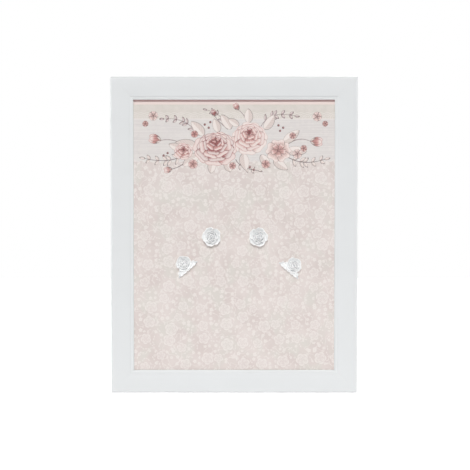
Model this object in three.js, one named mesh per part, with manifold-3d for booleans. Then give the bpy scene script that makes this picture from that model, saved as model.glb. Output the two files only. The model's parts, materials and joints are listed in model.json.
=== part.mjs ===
// A framed magnetic memo board: four mitred rails hold a printed sheet, a steel sheet and a backing board,
// four cast rose magnets sit on the print, and two D-ring hangers hang it on the wall.
// Lengths are in millimetres. +Z is up, the front faces -Y, and the origin is on the wall, midway between
// the two hooks that the rings hang on.
import * as THREE from "three";
import { mergeVertices } from "three/addons/utils/BufferGeometryUtils.js";
import Module from "manifold-3d";

const wasm = await Module();
wasm.setup();

// Frame: the moulding is described across its width, from the outer edge to the sight edge
const frameWidth = 312;
const frameHeight = 400;
const mouldingWidth = 29;
const mouldingDepth = 18;
const outerRound = 3; // round-over of the outer front edge
const backEase = 0.8; // eased outer back edge
const beadWidth = 4.2; // sight bead
const beadStep = 0.7; // the bead starts this far below the face
const beadRound = 1.1; // how far the bead rounds down towards the sight edge
const lipThickness = 5; // face to rabbet at the sight edge
const rabbetWidth = 7;
const mitreGap = 0.1; // glue line
const hookDrop = 80; // top edge of the frame to the hooks
const wallGap = 4.2; // back of the frame to the wall

// Panel stack in the rabbet, front to back
const panelAllowance = 1; // the panels are this much smaller than the rabbet on each side
const layerGap = 0.1;
const printThickness = 0.3;
const steelThickness = 0.6;
const backingThickness = 3;

// Fastenings
const fitGap = 0.3; // between a fastener and the pocket cut for it
const overrun = 2; // cutters run past the face they cut
const vNailLeg = 6;
const vNailThickness = 0.5;
const vNailDepth = 10;
const vNailInsets = [7, 15]; // outer edges to the nail's corner, both ways
const pointLength = 15;
const pointWidth = 6;
const pointThickness = 0.4;
const pointDriven = 4; // length inside the rabbet wall
const pointNose = 2; // taper of the free end
const pointsOnRail = 2;
const pointsOnStile = 3;

// D-ring hangers
const ringWire = 1; // wire radius
const ringHalfWidth = 7.5; // wire centre line
const ringReach = 12; // hinge axis to the wire's centre line at the crown
const ringFootRound = 2;
const ringLean = 2.5; // degrees, towards the frame, where the ring rests
const strapThickness = 0.7;
const strapWidth = 10;
const strapLength = 30; // hinge axis to the lower end
const strapEndRound = 3;
const hingeGap = 0.3; // wire to the curl round it
const upperScrewDrop = 9; // hinge axis to the upper screw
const lowerScrewInset = 7; // lower screw to the strap's end
const screwShank = 1.5; // radius
const screwLength = 11;
const screwTip = 3;
const screwHead = 3.1; // radius
const screwHeadRim = 0.6;
const screwHeadHeight = 1.7;
const screwSlotWidth = 0.7;
const screwSlotLength = 3.6;
const screwSlotDepth = 0.9;

// Bumper pads on the back of the bottom rail
const bumperRadius = 5;
const bumperFace = 2.6; // radius of the flat that meets the wall
const bumperRim = 0.8; // straight side below the dome
const bumperInset = 30; // outer edge of a stile to the pad's centre

// Magnets
const discRadius = 5;
const discThickness = 2.5;
const roundRoseRadius = 12.7;
const roundRoseHeight = 9.5;
const leafRoseRadius = 10.4;
const leafRoseHeight = 8.6;
const leafRoot = 3.7; // rose centre to the point that both leaves grow from
const leafLength = 16.5; // root to tip
const leafWidth = 10;
const leafThickness = 2.6;
const leafEdge = 0.6; // bevel of the leaf's edges
const leafSpread = 140; // degrees between the two leaves

// Where each magnet sits, in shares of the sight opening from its centre, and how far it is turned
const magnets = [
  { name: "rose_left", placeShares: [-0.1126, -0.0047], turn: 12, leaves: false },
  { name: "rose_right", placeShares: [0.1205, -0.0058], turn: 47, leaves: false },
  { name: "leaf_rose_left", placeShares: [-0.2524, -0.1067], turn: -49, leaves: true },
  { name: "leaf_rose_right", placeShares: [0.2937, -0.1102], turn: -130, leaves: true },
];

// A rose is four lobed cups, one inside the other: shares of the rose's radius and height
const roseCups = [
  { rimShare: 1, footShare: 0.7, topShare: 0.46, petals: 5, turnShare: 0, lobeShare: 0.11 },
  { rimShare: 0.76, footShare: 0.52, topShare: 0.7, petals: 5, turnShare: 0.5, lobeShare: 0.12 },
  { rimShare: 0.52, footShare: 0.36, topShare: 0.88, petals: 4, turnShare: 0.2, lobeShare: 0.13 },
  { rimShare: 0.29, footShare: 0.2, topShare: 1, petals: 3, turnShare: 0.6, lobeShare: 0.15 },
];
const petalLapShare = 0.1; // how much further out a petal ends than the next one starts
// A cup's section from its foot over the rim and down into the bowl: shares of its rim radius and of its
// top, and how much of the lobing each point takes
const cupSectionShares = [
  [0.96, 0.45, 0.8],
  [1, 0.86, 1],
  [0.93, 1, 1],
  [0.8, 0.88, 0.8],
  [0.66, 0.66, 0.4],
];
// Half a toothed leaf: shares of its length and of half its width
const leafEdgeShares = [
  [0.14, 0.74],
  [0.3, 1],
  [0.42, 0.98],
  [0.46, 0.86],
  [0.6, 0.84],
  [0.64, 0.68],
  [0.78, 0.56],
  [0.82, 0.4],
];

const arcSteps = 5; // half the steps of each rounded stretch of an outline
const wireSides = 8;
const wireBendSteps = 3; // half the steps of each bend
const cupSides = 25;
const pegSides = 20;
const screwSides = 12;
const domeSteps = 4;

// Sizes that follow from those above
const frameCentreZ = hookDrop - frameHeight / 2;
const frameBack = -wallGap;
const frameFront = frameBack - mouldingDepth;
const rabbetWall = mouldingWidth - rabbetWidth;
const sightWidth = frameWidth - 2 * mouldingWidth;
const sightHeight = frameHeight - 2 * mouldingWidth;
const panelWidth = frameWidth - 2 * (rabbetWall + panelAllowance);
const panelHeight = frameHeight - 2 * (rabbetWall + panelAllowance);
const printFront = frameFront + lipThickness + layerGap;
const steelFront = printFront + printThickness + layerGap;
const backingFront = steelFront + steelThickness + layerGap;
const pointFront = backingFront + backingThickness + layerGap;
const curlInner = ringWire + hingeGap;
const curlOuter = curlInner + strapThickness;
const hingeY = frameBack + layerGap + curlOuter;
const hingeZ = -(ringReach - ringWire) * Math.cos(THREE.MathUtils.degToRad(ringLean));
const hangerX = frameWidth / 2 - rabbetWall / 2;
const screwDrops = [upperScrewDrop, strapLength - lowerScrewInset];
const screwSeat = hingeY - curlInner + layerGap;

const paint = new THREE.MeshStandardMaterial({ color: "#e9ebea", roughness: 0.45 });
const paper = new THREE.MeshStandardMaterial({ color: "#e6dbd7", roughness: 0.7 });
const zinc = new THREE.MeshStandardMaterial({ color: "#a9adb0", roughness: 0.45, metalness: 1 });
const nickel = new THREE.MeshStandardMaterial({ color: "#c9c7c2", roughness: 0.3, metalness: 1 });
const hardboard = new THREE.MeshStandardMaterial({ color: "#7d5b40", roughness: 0.8 });
const resin = new THREE.MeshStandardMaterial({ color: "#eef1f3", roughness: 0.5 });
const ferrite = new THREE.MeshStandardMaterial({ color: "#3b3c3e", roughness: 0.6 });
const softPad = new THREE.MeshStandardMaterial({ color: "#d9d9d4", roughness: 0.6 });

// A closed geometry as a solid that can be cut and joined
function solidOf(geometry) {
  const bare = geometry.clone();
  bare.deleteAttribute("normal");
  bare.deleteAttribute("uv");
  const merged = mergeVertices(bare);
  const mesh = new wasm.Mesh({
    numProp: 3,
    vertProperties: merged.attributes.position.array,
    triVerts: Uint32Array.from(merged.index.array),
  });
  return new wasm.Manifold(mesh);
}

function geometryOf(solid) {
  const mesh = solid.getMesh();
  const geometry = new THREE.BufferGeometry();
  geometry.setAttribute("position", new THREE.BufferAttribute(mesh.vertProperties, mesh.numProp));
  geometry.setIndex(new THREE.BufferAttribute(mesh.triVerts, 1));
  const faceted = geometry.toNonIndexed();
  faceted.computeVertexNormals();
  return faceted;
}

function cut(geometry, cutters) {
  return geometryOf(cutters.reduce((left, cutter) => left.subtract(solidOf(cutter)), solidOf(geometry)));
}

function join(geometries) {
  return geometryOf(geometries.map(solidOf).reduce((all, solid) => all.add(solid)));
}

function common(geometry, other) {
  return geometryOf(solidOf(geometry).intersect(solidOf(other)));
}

function polygon(points) {
  return new THREE.Shape(points.map(([x, y]) => new THREE.Vector2(x, y)));
}

// A plate whose outline is drawn in X and Z, from y = 0 forward to -thickness
function plate(shape, thickness) {
  const settings = { depth: thickness, bevelEnabled: false, curveSegments: arcSteps };
  return new THREE.ExtrudeGeometry(shape, settings).rotateX(Math.PI / 2);
}

// A cylinder along Y, from y = 0 forward to -length
function peg(radius, length) {
  return new THREE.CylinderGeometry(radius, radius, length, pegSides).translate(0, -length / 2, 0);
}

// A turned piece on the Y axis, from its section of radius and height
function turned(points, sides) {
  const section = points.map(([radius, height]) => new THREE.Vector2(radius, height));
  return new THREE.LatheGeometry(section, sides);
}

const board = new THREE.Group();

function add(name, geometry, material, holder = board) {
  const mesh = new THREE.Mesh(geometry, material);
  mesh.name = name;
  holder.add(mesh);
  return mesh;
}

// The moulding's section: x runs from the outer edge to the sight edge, y from the face to the back
function mouldingSection() {
  const beadStart = mouldingWidth - beadWidth;
  const section = new THREE.Shape();
  section.moveTo(0, mouldingDepth - backEase);
  section.lineTo(0, outerRound);
  section.absarc(outerRound, outerRound, outerRound, Math.PI, Math.PI * 1.5, false);
  section.lineTo(beadStart, 0);
  section.lineTo(beadStart, beadStep);
  section.absellipse(beadStart, beadStep + beadRound, beadWidth, beadRound, -Math.PI / 2, 0, false);
  section.lineTo(mouldingWidth, lipThickness);
  section.lineTo(rabbetWall, lipThickness);
  section.lineTo(rabbetWall, mouldingDepth);
  section.lineTo(backEase, mouldingDepth);
  section.lineTo(0, mouldingDepth - backEase);
  return section;
}

// A rail lies along X with its outer edge at z = 0 and its back at y = 0. Each end draws in by its
// distance from the outer edge, which makes the mitre.
function mitredRail(length) {
  const settings = { depth: length, bevelEnabled: false, curveSegments: arcSteps };
  const rail = new THREE.ExtrudeGeometry(mouldingSection(), settings);
  const place = rail.attributes.position;
  for (let i = 0; i < place.count; i++) {
    const inset = place.getX(i) + mitreGap * Math.SQRT1_2;
    place.setZ(i, place.getZ(i) > 0 ? length - inset : inset);
  }
  const up = new THREE.Vector3(0, 0, 1);
  const back = new THREE.Vector3(0, 1, 0);
  const along = new THREE.Vector3(-1, 0, 0);
  rail.applyMatrix4(new THREE.Matrix4().makeBasis(up, back, along));
  return rail.translate(length / 2, -mouldingDepth, 0);
}

// A V-nail in a rail's left end, flush with the back: an L whose corner points at the frame's corner
function vNail(grow, proud) {
  const half = vNailThickness / 2 + grow;
  const leg = vNailLeg + grow;
  const outline = polygon([
    [-half, -half],
    [leg, -half],
    [leg, half],
    [half, half],
    [half, leg],
    [-half, leg],
  ]);
  return plate(outline, vNailDepth + grow + proud).translate(0, proud, 0);
}

// The pockets at both ends of a rail for its halves of the V-nails
function vNailPockets(length) {
  return vNailInsets.flatMap((inset) => [
    vNail(fitGap, overrun).translate(inset - length / 2, 0, inset),
    vNail(fitGap, overrun).rotateY(-Math.PI / 2).translate(length / 2 - inset, 0, inset),
  ]);
}

// A retaining point lies along Z: it is driven into the rabbet wall at z = 0 and its nose is free
function retainingPoint() {
  const half = pointWidth / 2;
  const free = pointLength - pointDriven;
  const outline = polygon([
    [-half, -pointDriven],
    [half, -pointDriven],
    [half, free - pointNose],
    [half - pointNose, free],
    [pointNose - half, free],
    [-half, free - pointNose],
  ]);
  return plate(outline, pointThickness).translate(0, pointThickness, 0);
}

function pointPocket() {
  const depth = pointDriven + fitGap + overrun;
  const pocket = new THREE.BoxGeometry(pointWidth + 2 * fitGap, pointThickness + 2 * fitGap, depth);
  return pocket.translate(0, pointThickness / 2, overrun - depth / 2);
}

// The retaining points' places along a rail, from its middle
function pointPlaces(count, length) {
  const rabbetLength = length - 2 * rabbetWall;
  return Array.from({ length: count }, (_, i) => ((i + 0.5) / count - 0.5) * rabbetLength);
}

// The four sides, each built as the bottom one and turned round the frame's centre. A side holds its rail,
// the V-nails of its left end and its retaining points.
function addFrame() {
  const sides = [
    { place: "bottom", corner: "bottom_left" },
    { place: "left", corner: "top_left" },
    { place: "top", corner: "top_right" },
    { place: "right", corner: "bottom_right" },
  ];
  sides.forEach(({ place, corner }, quarter) => {
    const isStile = quarter % 2 === 1;
    const [length, across] = isStile ? [frameHeight, frameWidth] : [frameWidth, frameHeight];
    const side = new THREE.Group();
    side.position.set(0, frameBack, frameCentreZ);
    side.rotation.y = (quarter * Math.PI) / 2;
    board.add(side);
    const outerEdge = -across / 2;

    const pointY = pointFront - frameBack;
    const places = pointPlaces(isStile ? pointsOnStile : pointsOnRail, length);
    const pockets = places.map((x) => pointPocket().translate(x, pointY, rabbetWall));
    pockets.push(...vNailPockets(length));
    if (isStile) pockets.push(...screwPockets(quarter === 1 ? -1 : 1));
    const name = "frame_" + place + (isStile ? "_stile" : "_rail");
    add(name, cut(mitredRail(length), pockets), paint, side).position.z = outerEdge;

    vNailInsets.forEach((inset, i) => {
      const nail = add("v_nail_" + corner + "_" + (i + 1), vNail(0, 0), zinc, side);
      nail.position.set(inset - length / 2, 0, outerEdge + inset);
    });
    places.forEach((x, i) => {
      const point = add("retaining_point_" + place + "_" + (i + 1), retainingPoint(), zinc, side);
      point.position.set(x, pointY, outerEdge + rabbetWall);
    });
  });
}

// The pilot holes in a stile. Its length runs down or up the frame, as the sign of upward says.
function screwPockets(upward) {
  const depth = screwLength - (screwSeat - frameBack) + fitGap;
  return screwDrops.map((drop) => {
    const along = upward * (hingeZ - drop - frameCentreZ);
    return peg(screwShank + fitGap, depth + overrun).translate(along, overrun, rabbetWall / 2);
  });
}

function addPanel(name, thickness, front, material) {
  const panel = new THREE.BoxGeometry(panelWidth, thickness, panelHeight);
  add(name, panel, material).position.set(0, front + thickness / 2, frameCentreZ);
}

// The strap's outline as seen from behind, with a rounded foot. It reaches past the curl.
function strapOutline() {
  const half = strapWidth / 2;
  const round = strapEndRound;
  const outline = new THREE.Shape();
  outline.moveTo(half, curlOuter + overrun);
  outline.lineTo(-half, curlOuter + overrun);
  outline.lineTo(-half, round - strapLength);
  outline.absarc(round - half, round - strapLength, round, Math.PI, Math.PI * 1.5, false);
  outline.lineTo(half - round, -strapLength);
  outline.absarc(half - round, round - strapLength, round, Math.PI * 1.5, Math.PI * 2, false);
  return outline;
}

// The strap is one strip: a flat against the frame whose top curls round the ring's foot. The hinge axis
// is the origin.
function hangerStrap() {
  const section = new THREE.Shape();
  section.moveTo(-curlOuter, -strapLength - overrun);
  section.lineTo(-curlOuter, 0);
  section.absarc(0, 0, curlOuter, Math.PI, -Math.PI / 2, true);
  section.lineTo(0, -curlInner);
  section.absarc(0, 0, curlInner, -Math.PI / 2, Math.PI, false);
  section.lineTo(-curlInner, -strapLength - overrun);
  const settings = { depth: strapWidth, bevelEnabled: false, curveSegments: arcSteps };
  const strip = new THREE.ExtrudeGeometry(section, settings);
  const back = new THREE.Vector3(0, 1, 0);
  const up = new THREE.Vector3(0, 0, 1);
  const along = new THREE.Vector3(1, 0, 0);
  strip.applyMatrix4(new THREE.Matrix4().makeBasis(back, up, along)).translate(-strapWidth / 2, 0, 0);
  const reach = curlOuter + overrun;
  const rounded = common(strip, plate(strapOutline(), 2 * reach).translate(0, reach, 0));
  const holes = screwDrops.map((drop) => peg(screwShank + fitGap, reach).translate(0, 0, -drop));
  return cut(rounded, holes);
}

// The ring's centre line: a D with its straight foot on the hinge axis
function ringPath() {
  const bend = ringHalfWidth - ringFootRound;
  const shoulder = ringReach - ringHalfWidth;
  const path = new THREE.Path();
  path.moveTo(-bend, 0);
  path.lineTo(bend, 0);
  path.absarc(bend, ringFootRound, ringFootRound, -Math.PI / 2, 0, false);
  path.lineTo(ringHalfWidth, shoulder);
  path.absarc(0, shoulder, ringHalfWidth, 0, Math.PI, false);
  path.lineTo(-ringHalfWidth, ringFootRound);
  path.absarc(-bend, ringFootRound, ringFootRound, Math.PI, Math.PI * 1.5, false);
  return path.getPoints(wireBendSteps).slice(0, -1);
}

// A wire along a closed path in X and Z, as one unbroken tube
function closedWire(path, radius) {
  const corners = path.flatMap((here, i) => {
    const before = path[(i + path.length - 1) % path.length];
    const after = path[(i + 1) % path.length];
    const out = after.clone().sub(before).normalize().rotateAround(new THREE.Vector2(), -Math.PI / 2);
    return Array.from({ length: wireSides }, (_, side) => {
      const angle = (side / wireSides) * 2 * Math.PI;
      const outward = radius * Math.cos(angle);
      return [here.x + outward * out.x, radius * Math.sin(angle), here.y + outward * out.y];
    }).flat();
  });
  const faces = path.flatMap((_, i) => {
    const next = (i + 1) % path.length;
    return Array.from({ length: wireSides }, (_unused, side) => {
      const beside = (side + 1) % wireSides;
      const [a, b] = [i * wireSides + side, i * wireSides + beside];
      const [c, d] = [next * wireSides + beside, next * wireSides + side];
      return [a, b, c, a, c, d];
    }).flat();
  });
  const tube = new THREE.BufferGeometry();
  tube.setAttribute("position", new THREE.Float32BufferAttribute(corners, 3));
  tube.setIndex(faces);
  return tube;
}

// A pan-head screw: its seat is y = 0, its shank runs forward and its head back
function panScrew() {
  const dome = Array.from({ length: domeSteps }, (_, i) => {
    const angle = ((i + 1) / domeSteps) * (Math.PI / 2);
    const rise = (screwHeadHeight - screwHeadRim) * Math.sin(angle);
    return [screwHead * Math.cos(angle), screwHeadRim + rise];
  });
  dome[domeSteps - 1][0] = 0;
  const screw = turned(
    [[0, -screwLength], [screwShank, screwTip - screwLength], [screwShank, 0], [screwHead, 0]]
      .concat([[screwHead, screwHeadRim]], dome),
    screwSides,
  );
  const depth = screwSlotDepth + overrun;
  const middle = screwHeadHeight - screwSlotDepth + depth / 2;
  const slots = [0, Math.PI / 2].map((turn) =>
    new THREE.BoxGeometry(screwSlotWidth, depth, screwSlotLength).rotateY(turn).translate(0, middle, 0),
  );
  return cut(screw, slots);
}

function addHangers() {
  for (const [place, side] of [["left", -1], ["right", 1]]) {
    const hanger = new THREE.Group();
    hanger.position.set(side * hangerX, hingeY, hingeZ);
    board.add(hanger);
    add("hanger_strap_" + place, hangerStrap(), nickel, hanger);
    const ring = add("d_ring_" + place, closedWire(ringPath(), ringWire), nickel, hanger);
    ring.rotation.x = THREE.MathUtils.degToRad(ringLean);
    screwDrops.forEach((drop, i) => {
      const screw = add("hanger_screw_" + place + "_" + (i + 1), panScrew(), nickel, hanger);
      screw.position.set(0, screwSeat - hingeY, -drop);
    });
  }
}

// A soft pad whose dome is flattened where it meets the wall
function bumperPad() {
  const height = wallGap - layerGap;
  const dome = Array.from({ length: domeSteps + 1 }, (_, i) => {
    const angle = (i / domeSteps) * (Math.PI / 2);
    const radius = bumperFace + (bumperRadius - bumperFace) * Math.cos(angle);
    return [radius, bumperRim + (height - bumperRim) * Math.sin(angle)];
  });
  return turned([[0, 0], [bumperRadius, 0], ...dome, [0, height]], pegSides);
}

function addBumpers() {
  for (const [place, side] of [["left", -1], ["right", 1]]) {
    const pad = add("bumper_" + place, bumperPad(), softPad);
    const z = frameCentreZ - frameHeight / 2 + rabbetWall / 2;
    pad.position.set(side * (frameWidth / 2 - bumperInset), frameBack + layerGap, z);
  }
}

// One cup of petals, with its foot at y = 0 and its rim towards -y
function petalCup({ rimShare, footShare, topShare, petals, turnShare, lobeShare }, radius, height) {
  const rim = radius * rimShare;
  const top = height * topShare;
  const bowl = cupSectionShares.map(([outShare, upShare]) => [rim * outShare, top * upShare]);
  const lobing = [0, 0, ...cupSectionShares.map((shares) => shares[2]), 0];
  const floor = bowl.at(-1)[1];
  const section = [[0, 0], [radius * footShare, 0], ...bowl, [0, floor]];
  const cup = turned(section, cupSides);
  const place = cup.attributes.position;
  for (let i = 0; i < place.count; i++) {
    const [x, y, z] = [place.getX(i), place.getY(i), place.getZ(i)];
    const turn = (Math.atan2(z, x) / (2 * Math.PI)) * petals + turnShare + petals;
    const within = turn - Math.floor(turn);
    const fromMiddle = within - 0.5;
    const draw = lobeShare * (2 * fromMiddle) ** 2 - petalLapShare * fromMiddle;
    const size = 1 - draw * lobing[i % section.length];
    place.setXYZ(i, x * size, y * size, z * size);
  }
  return cup.rotateX(Math.PI);
}

// A toothed leaf with its back at y = 0, turned by an angle about its root
function roseLeaf(angle) {
  const half = leafWidth / 2;
  const edge = leafEdgeShares.map(([alongShare, outShare]) => [leafLength * alongShare, half * outShare]);
  const mirrored = edge.map(([along, out]) => [along, -out]).reverse();
  const outline = polygon([...edge, [leafLength, 0], ...mirrored]);
  const settings = {
    depth: leafThickness - 2 * leafEdge,
    bevelSize: leafEdge,
    bevelOffset: -leafEdge,
    bevelThickness: leafEdge,
    bevelSegments: 1,
  };
  const leaf = new THREE.ExtrudeGeometry(outline, settings).rotateX(Math.PI / 2);
  return leaf.translate(0, -leafEdge, 0).rotateY(angle).translate(leafRoot, 0, 0);
}

function flower(radius, height, hasLeaves) {
  const solids = roseCups.map((cup) => petalCup(cup, radius, height));
  if (hasLeaves) {
    const turn = THREE.MathUtils.degToRad(leafSpread / 2);
    solids.push(roseLeaf(turn), roseLeaf(-turn));
  }
  const pocket = peg(discRadius + fitGap, discThickness + fitGap + overrun).translate(0, overrun, 0);
  return cut(join(solids), [pocket]);
}

function addMagnets() {
  for (const { name, placeShares, turn, leaves } of magnets) {
    const magnet = new THREE.Group();
    const [shareX, shareZ] = placeShares;
    magnet.position.set(sightWidth * shareX, printFront - layerGap, frameCentreZ + sightHeight * shareZ);
    magnet.rotation.y = -THREE.MathUtils.degToRad(turn);
    board.add(magnet);
    const [radius, height] = leaves ? [leafRoseRadius, leafRoseHeight] : [roundRoseRadius, roundRoseHeight];
    add(name + "_flower", flower(radius, height, leaves), resin, magnet);
    add(name + "_disc", peg(discRadius, discThickness), ferrite, magnet);
  }
}

addFrame();
addPanel("printed_sheet", printThickness, printFront, paper);
addPanel("steel_sheet", steelThickness, steelFront, zinc);
addPanel("backing_board", backingThickness, backingFront, hardboard);
addHangers();
addBumpers();
addMagnets();

export default board;
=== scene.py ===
import json
import math

import bmesh
import bpy
import numpy as np
from mathutils import Matrix, Vector
from mathutils.geometry import delaunay_2d_cdt


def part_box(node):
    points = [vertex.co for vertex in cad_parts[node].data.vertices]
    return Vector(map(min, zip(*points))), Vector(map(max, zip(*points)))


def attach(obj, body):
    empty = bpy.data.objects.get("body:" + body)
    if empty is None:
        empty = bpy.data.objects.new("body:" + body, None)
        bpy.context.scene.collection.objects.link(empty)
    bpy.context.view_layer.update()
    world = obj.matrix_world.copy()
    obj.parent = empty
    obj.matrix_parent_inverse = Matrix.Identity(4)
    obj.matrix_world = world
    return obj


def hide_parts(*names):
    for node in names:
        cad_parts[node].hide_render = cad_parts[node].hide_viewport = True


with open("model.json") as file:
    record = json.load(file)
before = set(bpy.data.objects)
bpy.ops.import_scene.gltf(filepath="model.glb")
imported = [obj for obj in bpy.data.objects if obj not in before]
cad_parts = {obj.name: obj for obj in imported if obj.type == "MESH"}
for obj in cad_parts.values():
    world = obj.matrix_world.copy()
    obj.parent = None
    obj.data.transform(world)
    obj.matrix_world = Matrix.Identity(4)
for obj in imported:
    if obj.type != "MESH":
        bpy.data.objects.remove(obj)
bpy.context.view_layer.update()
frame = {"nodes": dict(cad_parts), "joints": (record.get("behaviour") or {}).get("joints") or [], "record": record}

# Looks of a framed magnetic memo board: painted rails, a printed sheet, cast rose magnets and the
# hardware behind. Shapes are modelled in millimetres in the CAD's own frame, which is Z up with the
# front towards -Y, and become metres when a piece is finished.
MM = 0.001


def cad_box_of(name):
    """The low and the high corner of a CAD node's box, in millimetres."""
    return [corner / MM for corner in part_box(name)]


# The board, from the CAD
RAIL_LOW, RAIL_HIGH = cad_box_of("frame_bottom_rail")
SHEET_LOW, SHEET_HIGH = cad_box_of("printed_sheet")
SHEET_CENTRE_Z = (SHEET_LOW.z + SHEET_HIGH.z) / 2
MOULDING_DEPTH = RAIL_HIGH.y - RAIL_LOW.y
RABBET_WALL = 22  # outer edge to the rabbet
LIP = 5  # face to rabbet
FACE_SKIN = 0.04  # the ink reaches this far round the print's edges
MITRE_FILL = 0.06  # paint in the joint at each end of a rail
LONG_EDGE, RAIL_EASE = 150, 0.18
RAIL_CORNER, STRAP_CORNER = 0.5, 0.7  # edges that turn by more than this many radians are eased
OTHER_WOOD = 900  # between the rails' places in the wood's grain
SCREEN_PITCH = 1.1  # of the hardboard's pressed back
FLOOR_Z, FLOOR_REACH = RAIL_LOW.z - 150, 4000
CAMERA_TARGET, CAMERA_RISE, CAMERA_DISTANCE = (1.14, -19, -119.5), 2.06, 1.4865  # mm, degrees and metres
CAMERA_LENS, CAMERA_SENSOR = 90, 36

# How strong the room is as light and as the camera sees it, and how much the floor glows to the camera
ROOM_LIGHT, ROOM_SEEN, FLOOR_GLOW = 0.22, 1.0, 0.54
# Suns: the way towards each as right, back and up, how many degrees wide it is, and its power
SUNS = {
    "key": ((-0.03, -1, 0.75), 5, 1.85),
    "left_fill": ((-1, 0.14, 0.1), 30, 1.1),
    "right_fill": ((1, 0.14, 0.1), 30, 0.9),
    "back_fill": ((0.35, 1, 0.7), 40, 1.6),
}
FOOT_LIGHT, FOOT_LIGHT_POWER = (0, -250, -440), 0.1  # a low strip in front of the board

# Rose magnets: how far each is turned, counter-clockwise as seen from the front, and whether it has leaves
ROSES = {
    "rose_left": (12, False),
    "rose_right": (47, False),
    "leaf_rose_left": (-49, True),
    "leaf_rose_right": (-130, True),
}
ROUND_ROSE = (12.7, 9.5)  # radius and height
LEAF_ROSE = (10.5, 8.6)
LEAF_ROSE_SHIFT = (-0.6, 0.8)  # the flower stands off the middle of its leaves
# How strongly the painted shade in the folds shows on the leaf roses
LEAF_ROSE_FOLD_SHADE = 0.8
# Each cup of petals: shares of the radius at the rim, of the height at the top, number of petals,
# turn as a share of a petal, how deep the lobes are, and how far the rim rolls over
CUPS = (
    (1.0, 0.43, 5, 0.0, 0.11, 0.12),
    (0.67, 0.75, 5, 0.5, 0.12, 0.12),
    (0.45, 0.92, 4, 0.2, 0.13, 0.09),
    (0.26, 1.0, 3, 0.6, 0.15, 0.05),
)
PETAL_LAP = 0.1
PETAL_SPREAD = 1.2  # of its share of the ring
PETAL_FOOT, INNER_FOOT = 0.62, 0.54  # where petals begin, as a share of their cup's radius
PETAL_ROLL_START, PETAL_RUFFLE, PETAL_DROOP = 0.72, 0.025, 0.16
PETAL_THICKNESS, HEART_THICKNESS, CORE_WALL = 0.85, 0.6, 0.9
PETAL_STEPS, HEART_STEPS, LEAF_STEPS = (28, 14), (30, 8), (36, 64)  # across and along
CAST_VOXEL = 0.28
DISC_RADIUS, DISC_DEPTH, DISC_CLEARANCE, DISC_EASE = 5, 2.5, 0.3, 0.25
LEAF_ROOT, LEAF_LENGTH, LEAF_WIDTH, LEAF_RISE, LEAF_ANGLE = 3.7, 16.7, 10.2, 3.2, 70
LEAF_TEETH, LEAF_NOTCH, LEAF_CURL = 3.5, 1.5, 1.1
LEAF_VEINS, VEIN_DEPTH, MIDRIB_DEPTH, MIDRIB_WIDTH = 6.5, 0.3, 0.4, 0.35
LEAF_BACK, LEAF_EDGE = 0.03, 0.8

# Hangers
RING_WIRE, RING_HALF_WIDTH, RING_REACH, RING_FOOT_ROUND, RING_LEAN = 1, 7.5, 12, 2, 2.5
SCREW_HEAD, SCREW_RIM, SCREW_RISE, SCREW_SHANK, SCREW_LENGTH = 3.1, 0.6, 1.7, 1.5, 11
RING_SIDES = 18
THREAD_PITCH, THREAD_START, THREAD_TURNS = 0.8, 1.2, 10
THREAD_ROOT, THREAD_FLANK = 0.72, 0.3  # a share of the shank's radius, and along the screw
RECESS_MOUTH, RECESS_FOOT, RECESS_WIDTH, RECESS_DEPTH = 3.8, 1.4, 0.9, 1.2
STRAP_EASE = 0.1
PAD_RADIUS, PAD_FACE, PAD_RIM, PAD_EASE = 5, 2.6, 0.8, 0.15


def linear(red, green, blue):
    """A colour as it looks on a screen, from 0 to 255, made linear."""
    shares = [value / 255 for value in (red, green, blue)]
    return tuple(v / 12.92 if v <= 0.04045 else ((v + 0.055) / 1.055) ** 2.4 for v in shares) + (1,)


# Shader building


def math_method(operation):
    """A method that adds a math node for its wire and the other values."""
    return lambda wire, *others: wire.calc(operation, *others)


class Wire:
    """A node's output that plain arithmetic can use: each sum adds its math node to the tree."""

    def __init__(self, bench, socket):
        self.bench = bench
        self.socket = socket

    def calc(self, operation, *others):
        node = self.bench.node("Math", operation=operation)
        for socket, value in zip(node.inputs, (self, *others)):
            self.bench.plug(value, socket)
        return Wire(self.bench, node.outputs[0])

    __add__ = __radd__ = math_method("ADD")
    __mul__ = __rmul__ = math_method("MULTIPLY")
    __sub__ = math_method("SUBTRACT")
    __truediv__ = math_method("DIVIDE")
    __pow__ = math_method("POWER")
    __abs__ = math_method("ABSOLUTE")
    or_more = math_method("MAXIMUM")
    sine = math_method("SINE")
    cosine = math_method("COSINE")
    fraction = math_method("FRACT")

    def __rsub__(self, other):
        return self * -1 + other

    def repeat(self, length):
        """The place within a repeat, from minus half the length to half of it."""
        return (self / length + 0.5).fraction() * length - length / 2

    def ramp(self, low, high):
        """0 below low and 1 above high with a smooth rise between, or the reverse where low is more."""
        node = self.bench.node("MapRange", {"Value": self, "From Min": low, "From Max": high},
                               interpolation_type="SMOOTHSTEP")
        return Wire(self.bench, node.outputs[0])


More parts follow.
